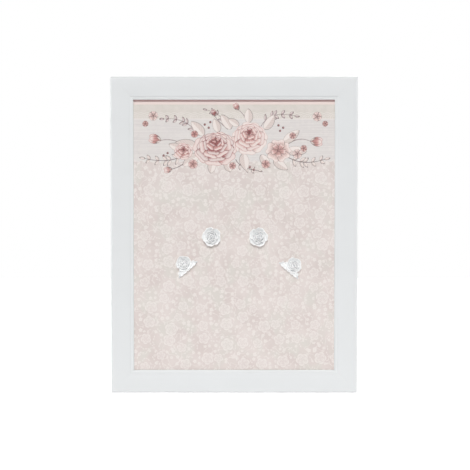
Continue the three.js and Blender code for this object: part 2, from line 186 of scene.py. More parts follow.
class Bench:
    """Adds nodes to one node tree."""

    def __init__(self, tree, material=None):
        self.tree = tree
        self.material = material

    def plug(self, value, socket):
        if isinstance(value, Wire):
            self.tree.links.new(value.socket, socket)
        else:
            socket.default_value = value

    def node(self, kind, inputs=None, **settings):
        made = self.tree.nodes.new("ShaderNode" + kind)
        for name, value in settings.items():
            setattr(made, name, value)
        for name, value in (inputs or {}).items():
            self.plug(value, made.inputs[name])
        return made

    def wire(self, kind, output=0, inputs=None, **settings):
        return Wire(self, self.node(kind, inputs, **settings).outputs[output])

    def attribute(self, name, output="Vector"):
        return self.wire("Attribute", output, attribute_name=name)

    def split(self, vector):
        node = self.node("SeparateXYZ", {"Vector": vector})
        return [Wire(self, node.outputs[i]) for i in range(3)]

    def join(self, x, y, z=0.0):
        return self.wire("CombineXYZ", 0, {"X": x, "Y": y, "Z": z})

    def noise(self, vector, scale, detail=2.0, roughness=0.5):
        inputs = {"Vector": vector, "Scale": scale, "Detail": detail, "Roughness": roughness}
        return self.wire("TexNoise", "Fac", inputs)

    def blend(self, factor, first, second):
        """One colour over another. Each is a wire, or as it looks on a screen."""
        node = self.node("Mix", data_type="RGBA")
        self.plug(factor, node.inputs[0])
        for socket, colour in ((node.inputs[6], first), (node.inputs[7], second)):
            self.plug(colour if isinstance(colour, Wire) else linear(*colour), socket)
        return Wire(self, node.outputs[2])

    def shaded(self, colour, shade):
        """A colour made lighter or darker by a number or wire round 1."""
        node = self.node("VectorMath", operation="SCALE")
        self.plug(colour if isinstance(colour, Wire) else linear(*colour)[:3], node.inputs[0])
        self.plug(shade, node.inputs["Scale"])
        return Wire(self, node.outputs[0])

    def place(self):
        """Object coordinates in millimetres."""
        inputs = {"Vector": self.wire("TexCoord", "Object"), "Scale": (1 / MM,) * 3}
        return self.wire("Mapping", 0, inputs)

    def uneven(self, grain, amount, place=None):
        """A shade round 1 and a fine height, from the group that the materials share."""
        made = self.node("Group", node_tree=UNEVENNESS)
        for name, value in {"Vector": place or self.place(), "Grain": grain, "Amount": amount}.items():
            self.plug(value, made.inputs[name])
        return [Wire(self, made.outputs[name]) for name in ("Shade", "Height")]

    def shader(self):
        """The sockets of the material's shader."""
        return next(node for node in self.tree.nodes if node.type == "BSDF_PRINCIPLED").inputs

    def dress(self, colour, roughness, relief=None, **fixed):
        """Dresses the material's shader. Relief is a height, its depth in millimetres and its strength.
        Fixed values go on the shader's own sockets, with _ for a space in a socket's name."""
        sockets = self.shader()
        self.plug(colour, sockets["Base Color"])
        self.plug(roughness, sockets["Roughness"])
        if relief:
            height, depth, strength = relief
            bump = {"Height": height, "Distance": depth * MM, "Strength": strength}
            self.plug(self.wire("Bump", "Normal", bump), sockets["Normal"])
        for name, value in fixed.items():
            sockets[name.replace("_", " ")].default_value = value
        return self.material


def unevenness_group():
    """Slow and fine variation: a shade round 1, and the fine height that goes with it."""
    tree = bpy.data.node_groups.new("unevenness", "ShaderNodeTree")
    for name, kind in (("Vector", "Vector"), ("Grain", "Float"), ("Amount", "Float")):
        tree.interface.new_socket(name, in_out="INPUT", socket_type="NodeSocket" + kind)
    for name in ("Shade", "Height"):
        tree.interface.new_socket(name, in_out="OUTPUT", socket_type="NodeSocketFloat")
    bench = Bench(tree)
    given = tree.nodes.new("NodeGroupInput").outputs
    vector, grain, amount = (Wire(bench, given[name]) for name in ("Vector", "Grain", "Amount"))
    result = tree.nodes.new("NodeGroupOutput")
    slow, fine = bench.noise(vector, 0.03, 3.0), bench.noise(vector, grain, 2.0)
    shade = (slow - 0.5) * 0.7 + (fine - 0.5) * 0.3
    bench.plug(shade * amount + 1, result.inputs["Shade"])
    bench.plug(fine, result.inputs["Height"])
    return tree


UNEVENNESS = unevenness_group()


def new_material(name):
    """A bench for a new material."""
    made = bpy.data.materials.new(name)
    made.use_nodes = True
    return Bench(made.node_tree, made)


def white_paint():
    """Satin white paint on the front and sides of the moulding, and bare pine behind. The attribute rail
    holds how far a point lies along the rail, from its outer edge and from its face."""
    bench = new_material("painted_moulding")
    along, across, depth = bench.split(bench.attribute("rail"))
    place = bench.join(along, across, depth)
    shade, height = bench.uneven(0.9, 0.035, place)
    brushed = bench.noise(bench.join(along * 0.02, across, depth), 1.6)

    # Pine: long streaks of late wood, drawn out along the rail
    wander = bench.noise(bench.join(along * 0.012, across * 0.5, depth * 0.5), 0.35, 3.0)
    rings = abs((wander * 9).fraction() - 0.5).ramp(0.0, 0.5)
    fibre = bench.noise(bench.join(along * 0.05, across * 2.2, depth * 2.2), 1.5, 3.0)
    late = bench.blend(rings, (196, 150, 104), (222, 190, 148))
    pine = bench.blend(fibre.ramp(0.2, 0.9) * 0.35, late, (176, 128, 84))

    # The paint ends in an uneven line just round the back edge and just inside the rabbet
    edge = across + (bench.noise(place, 0.2) - 0.5) * 0.6
    bare_back = depth.ramp(MOULDING_DEPTH - 0.8, MOULDING_DEPTH - 0.3) * edge.ramp(1.0, 1.6)
    bare_rabbet = across.ramp(RABBET_WALL - 0.4, RABBET_WALL - 0.1) * depth.ramp(LIP + 0.3, LIP + 0.8)
    bare = bare_back.or_more(bare_rabbet)
    colour = bench.blend(bare, bench.shaded((228, 230, 231), shade), pine)
    relief = height * 0.5 + brushed * 0.5 + bare * fibre
    roughness = 0.4 + brushed * 0.12 + bare * 0.3
    return bench.dress(colour, roughness, (relief, 0.05, 0.5), Specular_IOR_Level=0.45)


def zinc():
    """Dull galvanised steel, with the crystals that zinc sets in."""
    bench = new_material("galvanised_steel")
    place = bench.place()
    crystals = bench.wire("TexVoronoi", "Color", {"Vector": place, "Scale": 0.35, "Randomness": 1.0})
    tone = bench.wire("SeparateColor", 0, {"Color": crystals})
    haze = bench.noise(place, 0.6, 4.0)
    grey = bench.blend(tone, (194, 197, 200), (212, 215, 217))
    return bench.dress(bench.shaded(grey, haze * 0.12 + 0.94), tone * 0.16 + haze * 0.1 + 0.36,
                       (haze, 0.02, 0.4), Metallic=1)


def nickel():
    """Bright nickel plating with fine handling scratches."""
    bench = new_material("nickel_plate")
    place = bench.place()
    x, y, z = bench.split(place)
    scratches = bench.noise(bench.join(x * 3.2, y * 3.2, z * 0.35), 2.0, 4.0)
    cloud = bench.noise(place, 0.35, 3.0)
    colour = bench.shaded((188, 184, 176), cloud * 0.1 + 0.95)
    return bench.dress(colour, scratches * 0.14 + cloud * 0.08 + 0.16, (scratches, 0.006, 0.5), Metallic=1)


def hardboard():
    """Brown hardboard whose back carries the print of the press screen."""
    bench = new_material("hardboard")
    place = bench.place()
    x, y, z = bench.split(place)
    screen = (x * math.tau / SCREEN_PITCH).sine() * (z * math.tau / SCREEN_PITCH).sine()
    fibres = bench.noise(bench.join(x, y, z * 0.3), 0.9, 5.0, 0.65)
    flecks = bench.noise(place, 0.25, 5.0, 0.7)
    brown = bench.blend(fibres.ramp(0.25, 0.8), (92, 62, 41), (139, 100, 68))
    mottled = bench.blend(flecks.ramp(0.52, 0.75) * 0.5, brown, (160, 122, 88))
    return bench.dress(bench.shaded(mottled, screen * 0.07 + 0.97), 0.72 + fibres * 0.15,
                       (screen * 0.6 + fibres * 0.6, 0.25, 0.7))


def resin():
    """Satin white casting resin with the soft grain of its mould, with painted shade down in the folds
    and a painted highlight along the edges. The attribute hollow is how deep in a fold a point lies, in mm."""
    bench = new_material("cast_resin")
    shade, height = bench.uneven(2.2, 0.05)
    hollow = bench.attribute("hollow", "Fac")
    patchy = bench.noise(bench.place(), 0.5, 3.0).ramp(0.25, 0.7) * 0.4 + 0.6
    # Painted shade: greyer down in the folds, by how deep each point lies, and unevenly
    fold_shade = hollow.ramp(0.03, 0.4) * patchy
    # Painted highlight: a whiter white on the raised edges, where hollow is below 0
    white = bench.blend(hollow.ramp(0.0, -0.3), (252, 253, 253), (255, 254, 254))
    white = bench.blend(fold_shade * 0.82, white, (150, 154, 161))
    return bench.dress(bench.shaded(white, shade), height * 0.15 + 0.38 + fold_shade * 0.3, (height, 0.04, 0.6),
                       Specular_IOR_Level=0.5)


def ferrite():
    """Sintered ferrite: near black and dull, with a ground face."""
    bench = new_material("ferrite")
    shade, height = bench.uneven(3.5, 0.5)
    return bench.dress(bench.shaded((64, 65, 68), shade), height * 0.25 + 0.45, (height, 0.05, 0.6))


def soft_pad():
    """Milky polyurethane of a bumper pad."""
    bench = new_material("soft_pad")
    shade, height = bench.uneven(1.5, 0.08)
    return bench.dress(bench.shaded((218, 218, 210), shade), height * 0.1 + 0.3,
                       Subsurface_Weight=0.25, Subsurface_Radius=(1, 1, 0.9), Subsurface_Scale=1.5 * MM)


# Pieces


def link(name, data):
    """A new object in the scene that shows data, at the origin."""
    made = bpy.data.objects.new(name, data)
    bpy.context.scene.collection.objects.link(made)
    return made


def solid(name, shape):
    """Turns a shape in millimetres into an object in metres."""
    bmesh.ops.scale(shape, vec=(MM, MM, MM), verts=shape.verts)
    mesh = bpy.data.meshes.new(name)
    shape.to_mesh(mesh)
    shape.free()
    return link(name, mesh)


def piece(name, shape, material, body, slot, *nodes):
    """Turns a shape in millimetres into a piece that rides on a body and stands for CAD nodes."""
    made = solid(name, shape)
    made.data.materials.append(material)
    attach(made, body)
    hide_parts(*nodes)
    return made


def settle(made):
    """Applies a piece's modifiers."""
    graph = bpy.context.evaluated_depsgraph_get()
    final = bpy.data.meshes.new_from_object(made.evaluated_get(graph))
    made.modifiers.clear()
    made.data = final


def smooth(made, degrees=35):
    made.data.shade_smooth()
    made.data.set_sharp_from_angle(angle=math.radians(degrees))


def merged_copy(name):
    """A CAD node's shape in millimetres, with its loose triangles joined into plain faces."""
    shape = bmesh.new()
    shape.from_mesh(frame["nodes"][name].data)
    bmesh.ops.scale(shape, vec=(1 / MM,) * 3, verts=shape.verts)
    bmesh.ops.remove_doubles(shape, verts=shape.verts, dist=0.002)
    bmesh.ops.dissolve_limit(shape, angle_limit=math.radians(1), verts=shape.verts, edges=shape.edges)
    return shape


def rotation(degrees, axis):
    return Matrix.Rotation(math.radians(degrees), 4, axis)


def face_out(shape):
    bmesh.ops.recalc_face_normals(shape, faces=shape.faces)


def box_middle(name):
    """The middle of the front of a CAD node's box and of its back, in millimetres."""
    low, high = cad_box_of(name)
    return [Vector(((low.x + high.x) / 2, y, (low.z + high.z) / 2)) for y in (low.y, high.y)]


def spun(shape, section, steps=48):
    """A turned shape about Z, from its section of radius and height, closed where it meets the axis."""
    corners = [shape.verts.new((radius, 0, height)) for radius, height in section]
    edges = [shape.edges.new(pair) for pair in zip(corners, corners[1:])]
    bmesh.ops.spin(shape, geom=corners + edges, cent=(0, 0, 0), axis=(0, 0, 1), angle=math.tau,
                   steps=steps, use_merge=True)
    bmesh.ops.remove_doubles(shape, verts=shape.verts, dist=0.001)
    face_out(shape)


def quarter(inner, outer, foot, top, angles):
    """Points of a dome's section: part of an ellipse that rises from the outer radius to the inner."""
    turns = [math.radians(angle) for angle in angles]
    return [(inner + (outer - inner) * math.cos(a), foot + (top - foot) * math.sin(a)) for a in turns]


def bevel(shape, edges, width, segments=2):
    bmesh.ops.bevel(shape, geom=edges, offset=width, offset_type="OFFSET", affect="EDGES",
                    segments=segments, profile=0.5, material=-1, clamp_overlap=True)


def make_rail(name, material, lengthwise, inward, wood):
    """A rail as in the CAD with its long edges eased, and drawn out to fill its mitres. Lengthwise is the
    axis that it runs along, inward the way to its inner edge, and wood where its grain begins."""
    low, high = cad_box_of(name)
    outer = (low if inward > 0 else high)[2 - lengthwise]
    shape = merged_copy(name)
    middle = SHEET_CENTRE_Z if lengthwise == 2 else 0
    long_edges = []
    for edge in shape.edges:
        run = edge.verts[1].co - edge.verts[0].co
        is_long = abs(run[lengthwise]) > LONG_EDGE and len(edge.link_faces) == 2
        if is_long and edge.calc_face_angle() > RAIL_CORNER:
            long_edges.append(edge)
    bevel(shape, long_edges, RAIL_EASE)
    reach = max(abs(vertex.co[lengthwise] - middle) for vertex in shape.verts)
    for vertex in shape.verts:
        from_middle = vertex.co[lengthwise] - middle
        vertex.co[lengthwise] = middle + from_middle * (reach + MITRE_FILL) / reach
    made = piece(name + "_painted", shape, material, "board", "painted_moulding", name)
    rail = made.data.attributes.new("rail", "FLOAT_VECTOR", "POINT")
    for vertex, value in zip(made.data.vertices, rail.data):
        place = vertex.co / MM
        across = (place[2 - lengthwise] - outer) * inward
        value.vector = (place[lengthwise] + wood, across, place.y - low.y)
    smooth(made)


def make_rails():
    paint = white_paint()
    make_rail("frame_bottom_rail", paint, 0, 1, 0)
    make_rail("frame_top_rail", paint, 0, -1, OTHER_WOOD)
    make_rail("frame_left_stile", paint, 2, 1, OTHER_WOOD * 2)
    make_rail("frame_right_stile", paint, 2, -1, OTHER_WOOD * 3)


# The printed sheet. Places on it are in millimetres from its centre: to the right and up.
ROSE_SPACING, ROSE_SCATTER, ROSE_LEAST, ROSE_VARIETY = 24.0, 0.7, 5.2, 3.4
SMALL_SPACING, SMALL_SCATTER = 6.9, 0.85
# Rings of a ground rose: share of its size, number of petals and turn
PRINTED_RINGS = ((1.0, 5, 0.0), (0.7, 5, 1.3), (0.42, 4, 0.5), (0.2, 3, 2.1))
# How far up each part of the print begins, and the widths of what repeats
BANNER_UP, SCALLOP_WIDTH, SCALLOP_DEPTH = 94.6, 9, 1.8
LACE_UP, ARCH_UP, ARCH_WIDTH, ARCH_REACH, NET_WIDTH, RIB_WIDTH = 147.4, 148.6, 8.4, 7.6, 1.5, 2.1
PINK_UP, RULE_UP = 165.2, 168.8


def motif_cells(bench, vector, spacing, scatter):
    """How far the nearest motif's centre is, at what angle, and a number of that motif's own."""
    inputs = {"Vector": vector, "Scale": 1 / spacing, "Randomness": scatter}
    cells = bench.node("TexVoronoi", inputs, voronoi_dimensions="2D")
    away = bench.node("VectorMath", operation="SUBTRACT")
    bench.plug(vector, away.inputs[0])
    bench.plug(Wire(bench, cells.outputs["Position"]), away.inputs[1])
    x, y, _ = bench.split(Wire(bench, away.outputs[0]))
    pick = bench.wire("SeparateColor", 0, {"Color": Wire(bench, cells.outputs["Color"])})
    radius = (x * x + y * y) ** 0.5
    return radius, y.calc("ARCTAN2", x) + pick * math.tau, pick


def leaf_ring(radius, angle, count, start, length, width):
    """Leaves round a centre: 1 on a leaf, and 1 on the line along its middle."""
    across = (angle * (count / math.tau)).repeat(1) * (math.tau / count) * radius
    along = (radius - start) / length
    room = along * (1 - along) * 4 * width - abs(across)
    return room.ramp(-0.12, 0.12), abs(across).ramp(0.3, 0.1)


def rose_ground(bench, place):
    """The tone-on-tone ground: scattered roses with leaves, small blossoms and trailing stems. Gives how
    light each point is, and where the darker lines run."""
    radius, angle, pick = motif_cells(bench, place, ROSE_SPACING, ROSE_SCATTER)
    size = ROSE_LEAST + pick * ROSE_VARIETY
    leafy = bench.noise(place, 0.11, 0.0).ramp(0.44, 0.5)
    light, vein = leaf_ring(radius, angle, 3, size * 0.85, 5.0, 1.5)
    light = light * leafy * (0.5 - vein * 0.4)
    line = vein * light * 0.5
    for share, petals, phase in PRINTED_RINGS:
        lobes = abs((angle * (petals / 2) + phase).cosine())
        edge = (lobes * 0.1 + 0.9) * size * share
        inside = (radius - edge).ramp(0.3, -0.3)
        shade = (radius / edge) ** 3 * (lobes * 0.55 + 0.2) + 0.2
        light = light * (1 - inside) + inside * shade
        line = line * (1 - inside) + abs(radius - edge).ramp(0.5, 0.1) * (0.8 - lobes * 0.5)

    small, turn, choice = motif_cells(bench, place, SMALL_SPACING, SMALL_SCATTER)
    clear = (radius - size).ramp(1.0, 2.4)
    rim = (abs((turn * 2.5).cosine()) * 0.4 + 0.7) * (choice * 1.6 + 0.9)
    blossom = (small - rim).ramp(0.5, -0.5)
    heart = small.ramp(0.55, 0.3)
    sprig, _ = leaf_ring(small, turn, 2, 0.2, 3.0, 0.8)
    is_blossom = choice.ramp(0.42, 0.46)
    filler = is_blossom * blossom * 0.72 + (1 - is_blossom) * sprig * 0.6
    winding = bench.noise(place, 0.055, 1.0)
    stem = abs(winding - 0.5).ramp(0.011, 0.005) * (radius - size).ramp(-0.2, 0.4)
    light = light.or_more(filler * clear).or_more(stem * 0.55)
    return light, line.or_more(heart * clear * is_blossom * 0.7)


def net_lines(slant):
    return abs(slant.repeat(NET_WIDTH)).ramp(0.28, 0.12)


def lace_strip(bench, x, up):
    """Beige lace: arches of net with ribs in each, along a straight band."""
    arch_x, arch_up = x.repeat(ARCH_WIDTH), up - ARCH_UP
    from_arch = (arch_x * arch_x + arch_up * arch_up) ** 0.5
    net = net_lines(x + up).or_more(net_lines(x - up))
    ribs = abs(from_arch.repeat(RIB_WIDTH)).ramp(0.42, 0.2) * from_arch.ramp(ARCH_REACH, ARCH_REACH - 0.4)
    mottle = bench.noise(bench.join(x, up), 0.12, 3.0).ramp(0.3, 0.7)
    beige = bench.blend(mottle, (212, 205, 196), (220, 212, 205))
    return bench.blend((net * 0.6).or_more(ribs), beige, (235, 229, 224))


def garland_ink(bench):
    """How much the garland covers, and its colour, in streaks and hatching. The sheet's mesh carries the
    ink of each shape, the place across and along it, and how far its outline is."""
    cover, colour = (bench.attribute("ink", output) for output in ("Alpha", "Color"))
    lateral, along, edge = bench.split(bench.attribute("stroke"))
    leaf = bench.attribute("leaf", "Fac")
    streaks = bench.noise(bench.join(lateral * 1.7, along * 0.9), 1.0, 3.0).ramp(0.4, 0.64)
    hatch = abs(lateral.repeat(0.8)).ramp(0.26, 0.1) * along.ramp(0.95, 0.55)
    petal_light = along.ramp(0.45, 1.0) * 0.62 + along.ramp(-0.1, 0.8) * 0.3 + 0.36
    petal_light = petal_light - streaks * along.ramp(1.05, 0.6) * 0.42 - hatch * 0.22
    veins = abs((along * 8 - abs(lateral) * 0.36).repeat(1)).ramp(0.2, 0.07)
    veins = veins.or_more(abs(lateral).ramp(0.42, 0.16))
    leaf_hatch = abs((along * 26 - abs(lateral) * 0.9).repeat(1)).ramp(0.3, 0.14)
    leaf_hatch = leaf_hatch * lateral.ramp(0.2, -0.8)
    leaf_light = 0.7 + lateral.ramp(-0.4, 0.6) * 0.38 - leaf_hatch * 0.25 - veins * 0.3
    tone = petal_light * (1 - leaf) + leaf_light * leaf - edge.ramp(0.62, 0.22) * 0.9
    dark = bench.blend(0.5, bench.shaded(colour, 0.42), (112, 84, 85))
    pale = bench.blend(0.74, colour, (246, 239, 235))
    inked = bench.blend(tone.ramp(-0.3, 0.5), dark, colour)
    return cover, bench.blend(tone.ramp(0.4, 1.0), inked, pale)


def printed_paper():
    """A matt print: a rose ground, a pale banner with a lace strip and a rule above it, and a garland."""
    bench = new_material("printed_paper")
    x, y, z = bench.split(bench.place())
    up = z - SHEET_CENTRE_Z
    flat = bench.join(x, up)
    fibres = bench.noise(bench.join(x, y, z), 0.9, 3.0)

    light, line = rose_ground(bench, flat)
    wash = bench.noise(flat, 0.03, 2.0).ramp(0.3, 0.7)
    paper = bench.blend(wash, (219, 207, 203), (229, 219, 215))
    mist = bench.noise(bench.join(x + 300, up * 0.8), 0.04, 2.0).ramp(0.45, 0.68)

    # The banner is pale and finely striped, and fades into the ground at a scalloped edge
    stripes = bench.noise(bench.join(x * 0.012, up * 0.85), 1.0, 3.0)
    banner = bench.blend(stripes.ramp(0.3, 0.7), (220, 214, 212), (229, 224, 221))
    banner = bench.blend(light * 0.28, banner, (240, 234, 230))
    scallop = up - BANNER_UP + abs((x * (math.pi / SCALLOP_WIDTH)).sine()) * SCALLOP_DEPTH

    # From the ground up: how much each ink covers what is printed before it
    for cover, ink in (
        (mist * 0.7, (222, 218, 211)),
        (light, (242, 236, 232)),
        (line * 0.6, (204, 188, 185)),
        (scallop.ramp(-0.5, 0.5), banner),
        (abs(scallop - 0.9).ramp(0.55, 0.25) * 0.6, (241, 234, 230)),
        ((up - LACE_UP).ramp(-0.3, 0.3), lace_strip(bench, x, up)),
        (abs(up - (LACE_UP - 0.4)).ramp(0.8, 0.5) * 0.8, (236, 229, 225)),
        ((up - PINK_UP).ramp(-0.4, 0.4), (236, 219, 214)),
        ((up - RULE_UP).ramp(-0.25, 0.25), (208, 174, 172)),
    ):
        paper = bench.blend(cover, paper, ink)

    cover, inked = garland_ink(bench)
    paper = bench.blend(cover, paper, inked)

    # Sides and back are the bare sheet
    front = (y - (SHEET_LOW.y + FACE_SKIN)).ramp(0.02, -0.02)
    sheet = bench.blend(front, (232, 230, 226), paper)
    return bench.dress(bench.shaded(sheet, fibres * 0.02 + 0.99), fibres * 0.1 + 0.5, (fibres, 0.012, 0.5),
                       Specular_IOR_Level=0.3)


class Drawing:
    """Shapes drawn one over another on the flat sheet."""

    def __init__(self):
        self.shapes = []

    def add(self, points, ink, leaf, axes):
        """An outline, counter-clockwise, with the axes that places across and along it are read from."""
        self.shapes.append({"points": points, "ink": ink, "leaf": leaf, "axes": axes})

    def blade(self, place, angle, length, width, ink, crest=1.0, fullness=0.5, notch=0.0, bend=0.0,
              squash=1.0, leaf=False, steps=9):
        """A petal or leaf from its foot. Crest moves its widest part towards the tip, fullness under 1
        blunts it, notch dents its tip, bend curves it and squash flattens it upright."""
        turn = math.radians(angle)
        sides = []
        for side in (-1, 1):
            run = []
            for step in range(steps + 1):
                along = (1 - math.cos(math.pi * step / steps)) / 2
                rise = along ** crest
                half = width / 2 * (4 * rise * (1 - rise)) ** fullness
                dent = notch * math.exp(-(half / (DENT_WIDTH * width)) ** 2) if along > 0.6 else 0
                run.append((length * (along - dent), side * half + bend * length * along ** 2))
            sides.append(run)
        points = []
        for ahead, beside in sides[0] + sides[1][-2:0:-1]:
            x = place[0] + ahead * math.cos(turn) - beside * math.sin(turn)
            up = place[1] + squash * (ahead * math.sin(turn) + beside * math.cos(turn))
            points.append((x, up))
        self.add(points, ink, leaf, (place, turn, length, bend, squash))

    def stem(self, start, bend, end, width, ink):
        """A thin curved stroke through a bend."""
        middle = []
        for step in range(STEM_STEPS + 1):
            t = step / STEM_STEPS
            shares = ((1 - t) ** 2, 2 * t * (1 - t), t * t)
            middle.append(tuple(sum(share * value for share, value in zip(shares, corner))
                                for corner in zip(start, bend, end)))
        left, right = [], []
        for i, here in enumerate(middle):
            before, after = middle[max(i - 1, 0)], middle[min(i + 1, STEM_STEPS)]
            run = Vector(after) - Vector(before)
            side = Vector((-run.y, run.x)).normalized() * width / 2 * (1.2 - 0.05 * i)
            left.append((here[0] + side.x, here[1] + side.y))
            right.append((here[0] - side.x, here[1] - side.y))
        self.add(right + left[::-1], ink, True, (start, 0, 40, 0, 1))
        return middle

    def local(self, shape, points):
        """Where points lie across and along a shape, and how far they are from its outline."""
        (foot_x, foot_up), turn, length, bend, squash = shape["axes"]
        offset = points - np.array((foot_x, foot_up))
        offset[:, 1] /= squash
        along = offset @ np.array((math.cos(turn), math.sin(turn)))
        across = offset @ np.array((-math.sin(turn), math.cos(turn))) - bend * along ** 2 / length
        start = np.array(shape["points"])
        run = np.roll(start, -1, 0) - start
        away = points[:, None] - start
        share = np.clip((away * run).sum(2) / np.maximum((run ** 2).sum(1), 1e-9), 0, 1)
        edge = np.linalg.norm(away - share[..., None] * run, axis=2).min(1)
        return np.stack((across, along / length, edge), 1)


STEM_STEPS, BERRY_WIDTH = 10, 3.0
RING_LIFT, PETAL_JOG, DENT_WIDTH = 0.07, 0.06, 0.22
INK_GRID = 1.6  # between the points that the ink is kept at
# The print's own map: the room at its edges, how wide the face is, and where the sides and back lie
MAP_EDGE, MAP_FACE, MAP_STRIP = 0.002, 0.96, 0.97
DEEP, ROSE, SOFT, PALE = (166, 100, 99), (205, 151, 146), (214, 171, 165), (227, 200, 194)
MAUVE, SAGE, BERRY = (194, 173, 172), (222, 207, 201), (172, 122, 120)


def open_flower(drawing, centre, radius, rings, turn, squash):
    """A full flower seen from a little above: rings of petals from the outermost in."""
    for ring, (reach, count, wide, ink) in enumerate(rings):
        lift = radius * RING_LIFT * ring
        for number in range(count):
            angle = turn + (number + ring * 0.5) * 360 / count
            jog = 1 + PETAL_JOG * math.sin(number * 2.4 + ring)
            drawing.blade((centre[0], centre[1] + lift), angle, radius * reach * jog, radius * wide, ink,
                          crest=1.9, fullness=0.42, notch=0.07, squash=squash)


def five_petals(drawing, centre, radius, ink, turn, squash=1.0, wide=0.95):
    for number in range(5):
        drawing.blade(centre, turn + number * 72, radius, radius * wide, ink, crest=1.7, fullness=0.45,
                      notch=0.16, squash=squash, steps=7)
    drawing.blade((centre[0] - radius * 0.16, centre[1]), 0, radius * 0.32, radius * 0.32, BERRY, steps=4)


def bud(drawing, foot, angle, length, ink):
    """A closed bud between its sepals."""
    for lean in (-17, 17, 0):
        drawing.blade(foot, angle + lean, length * (1 if lean else 0.94), length * 0.5, ink, crest=1.25,
                      fullness=0.62, bend=lean * -0.006, steps=7)
    for lean in (-34, 34):
        drawing.blade(foot, angle + lean, length * 0.5, length * 0.16, SAGE, fullness=0.9, leaf=True,
                      steps=5)


def leaf_spray(drawing, start, bend, end, pairs, size, ink):
    """A stem with leaflets in pairs and one at its tip."""
    line = drawing.stem(start, bend, end, 0.75, MAUVE)
    for pair in range(pairs):
        share = (pair + 1.2) / (pairs + 1)
        spot = round(share * STEM_STEPS)
        here, ahead, behind = line[spot], line[min(spot + 1, STEM_STEPS)], line[spot - 1]
        heading = math.degrees(math.atan2(ahead[1] - behind[1], ahead[0] - behind[0]))
        for lean in (-48, 48):
            drawing.blade(here, heading + lean, size * (1.15 - 0.4 * share), size * 0.46, ink, crest=0.9,
                          fullness=0.8, leaf=True, steps=6)
    run = Vector(line[-1]) - Vector(line[-3])
    drawing.blade(line[-1], math.degrees(math.atan2(run.y, run.x)), size * 0.9, size * 0.4, ink, crest=0.9,
                  fullness=0.8, leaf=True, steps=6)


# Places on the sheet: where each spray runs, each stem, leaf, bud, small blossom and berry
SPRAYS = (
    ((-62, 102), (-82, 90), (-112, 97), 5, 9.0, SAGE),
    ((-44, 126), (-60, 150), (-88, 147), 5, 7.5, MAUVE),
    ((34, 138), (46, 158), (76, 151), 5, 8.0, MAUVE),
    ((66, 100), (86, 87), (114, 96), 5, 9.0, SAGE),
    ((2, 96), (8, 84), (30, 82), 3, 7.0, SAGE),
    ((-10, 136), (-14, 154), (-34, 158), 3, 6.5, MAUVE),
)
STEMS = (
    ((-58, 112), (-78, 124), (-92, 120)), ((66, 114), (82, 126), (96, 119)),
    ((-54, 98), (-68, 86), (-78, 84)), ((16, 142), (14, 152), (6, 158)),
    ((-8, 134), (-20, 144), (-24, 150)),
)
LEAVES = (
    ((-46, 112), 166, 30, 14), ((-44, 102), 208, 25, 13), ((-26, 94), 250, 16, 11),
    ((-38, 126), 126, 24, 12), ((-10, 94), 285, 15, 10), ((12, 104), 272, 22, 12.5),
    ((34, 102), 300, 20, 11), ((66, 108), 350, 26, 12.5), ((62, 118), 30, 25, 12),
    ((18, 142), 84, 18, 11), ((38, 134), 48, 22, 11.5), ((-4, 134), 118, 22, 11.5),
    ((50, 96), 318, 22, 11), ((-66, 108), 150, 18, 9.5), ((-20, 130), 100, 18, 10.5),
    ((6, 138), 140, 16, 9),
)
BUDS = (
    ((-92, 120), 168, 16, ROSE), ((96, 119), -4, 16, ROSE), ((-78, 84), 190, 11, SOFT),
    ((6, 158), 124, 10, ROSE), ((-24, 150), 110, 9, DEEP),
)
BLOSSOMS = (
    ((-52, 90), 6.5, SOFT, 40), ((80, 103), 6.5, PALE, 25), ((88, 110), 4.6, SOFT, 0),
    ((40, 90), 6.0, SOFT, 60), ((-102, 151), 6.5, PALE, 15), ((-112, 141), 4.2, SOFT, 50),
    ((105, 150), 6.5, PALE, 35), ((115, 141), 4.0, SOFT, 5), ((-2, 88), 5.0, SOFT, 30),
    ((-50, 128), 5.0, ROSE, 12), ((74, 126), 4.6, SOFT, 44),
)
BERRIES = (
    (-32, 136), (-37, 140), (-30, 143), (58, 132), (62, 136), (56, 139),
    (-84, 104), (-89, 101), (20, 86), (25, 83),
)
# Rings of a full bloom: reach, number of petals, width as shares of the radius, and ink
DEEP_BLOOM = ((1.0, 7, 0.86, ROSE), (0.87, 6, 0.82, DEEP), (0.72, 6, 0.7, ROSE), (0.58, 5, 0.6, DEEP),
              (0.43, 5, 0.46, ROSE), (0.3, 4, 0.34, DEEP), (0.17, 3, 0.22, ROSE))
PALE_BLOOM = ((1.0, 6, 0.96, PALE), (0.84, 6, 0.84, ROSE), (0.68, 5, 0.72, SOFT), (0.52, 5, 0.56, ROSE),
              (0.36, 4, 0.42, SOFT), (0.2, 3, 0.26, DEEP))
HALF_BLOOM = ((1.0, 6, 0.9, SOFT), (0.78, 5, 0.8, ROSE), (0.54, 4, 0.6, SOFT), (0.3, 3, 0.34, DEEP))


def draw_garland():
    """A garland laid along the banner, drawn for this board: full blooms, a dog rose, buds and sprays."""
    drawing = Drawing()
    for spray in SPRAYS:
        leaf_spray(drawing, *spray)
    for foot, bend, end in STEMS:
        drawing.stem(foot, bend, end, 0.9, MAUVE)
    for foot, angle, length, width in LEAVES:
        drawing.blade(foot, angle, length, width, SAGE, crest=0.85, fullness=0.72, bend=0.1, leaf=True,
                      steps=11)
    for foot, angle, length, ink in BUDS:
        bud(drawing, foot, angle, length, ink)
    for place, size, ink, turn in BLOSSOMS:
        five_petals(drawing, place, size, ink, turn)
    open_flower(drawing, (-64, 106), 12.5, HALF_BLOOM, 40, 0.86)
    five_petals(drawing, (56, 107), 17, PALE, 20, 0.9, 1.02)
    five_petals(drawing, (56, 107.6), 10.5, SOFT, 56, 0.9, 0.72)
    open_flower(drawing, (19, 122), 24, PALE_BLOOM, 24, 0.88)
    open_flower(drawing, (-24, 109), 28, DEEP_BLOOM, 8, 0.8)
    for x, up in BERRIES:
        drawing.blade((x - BERRY_WIDTH / 2, up), 0, BERRY_WIDTH, BERRY_WIDTH, BERRY, steps=5)
    return drawing


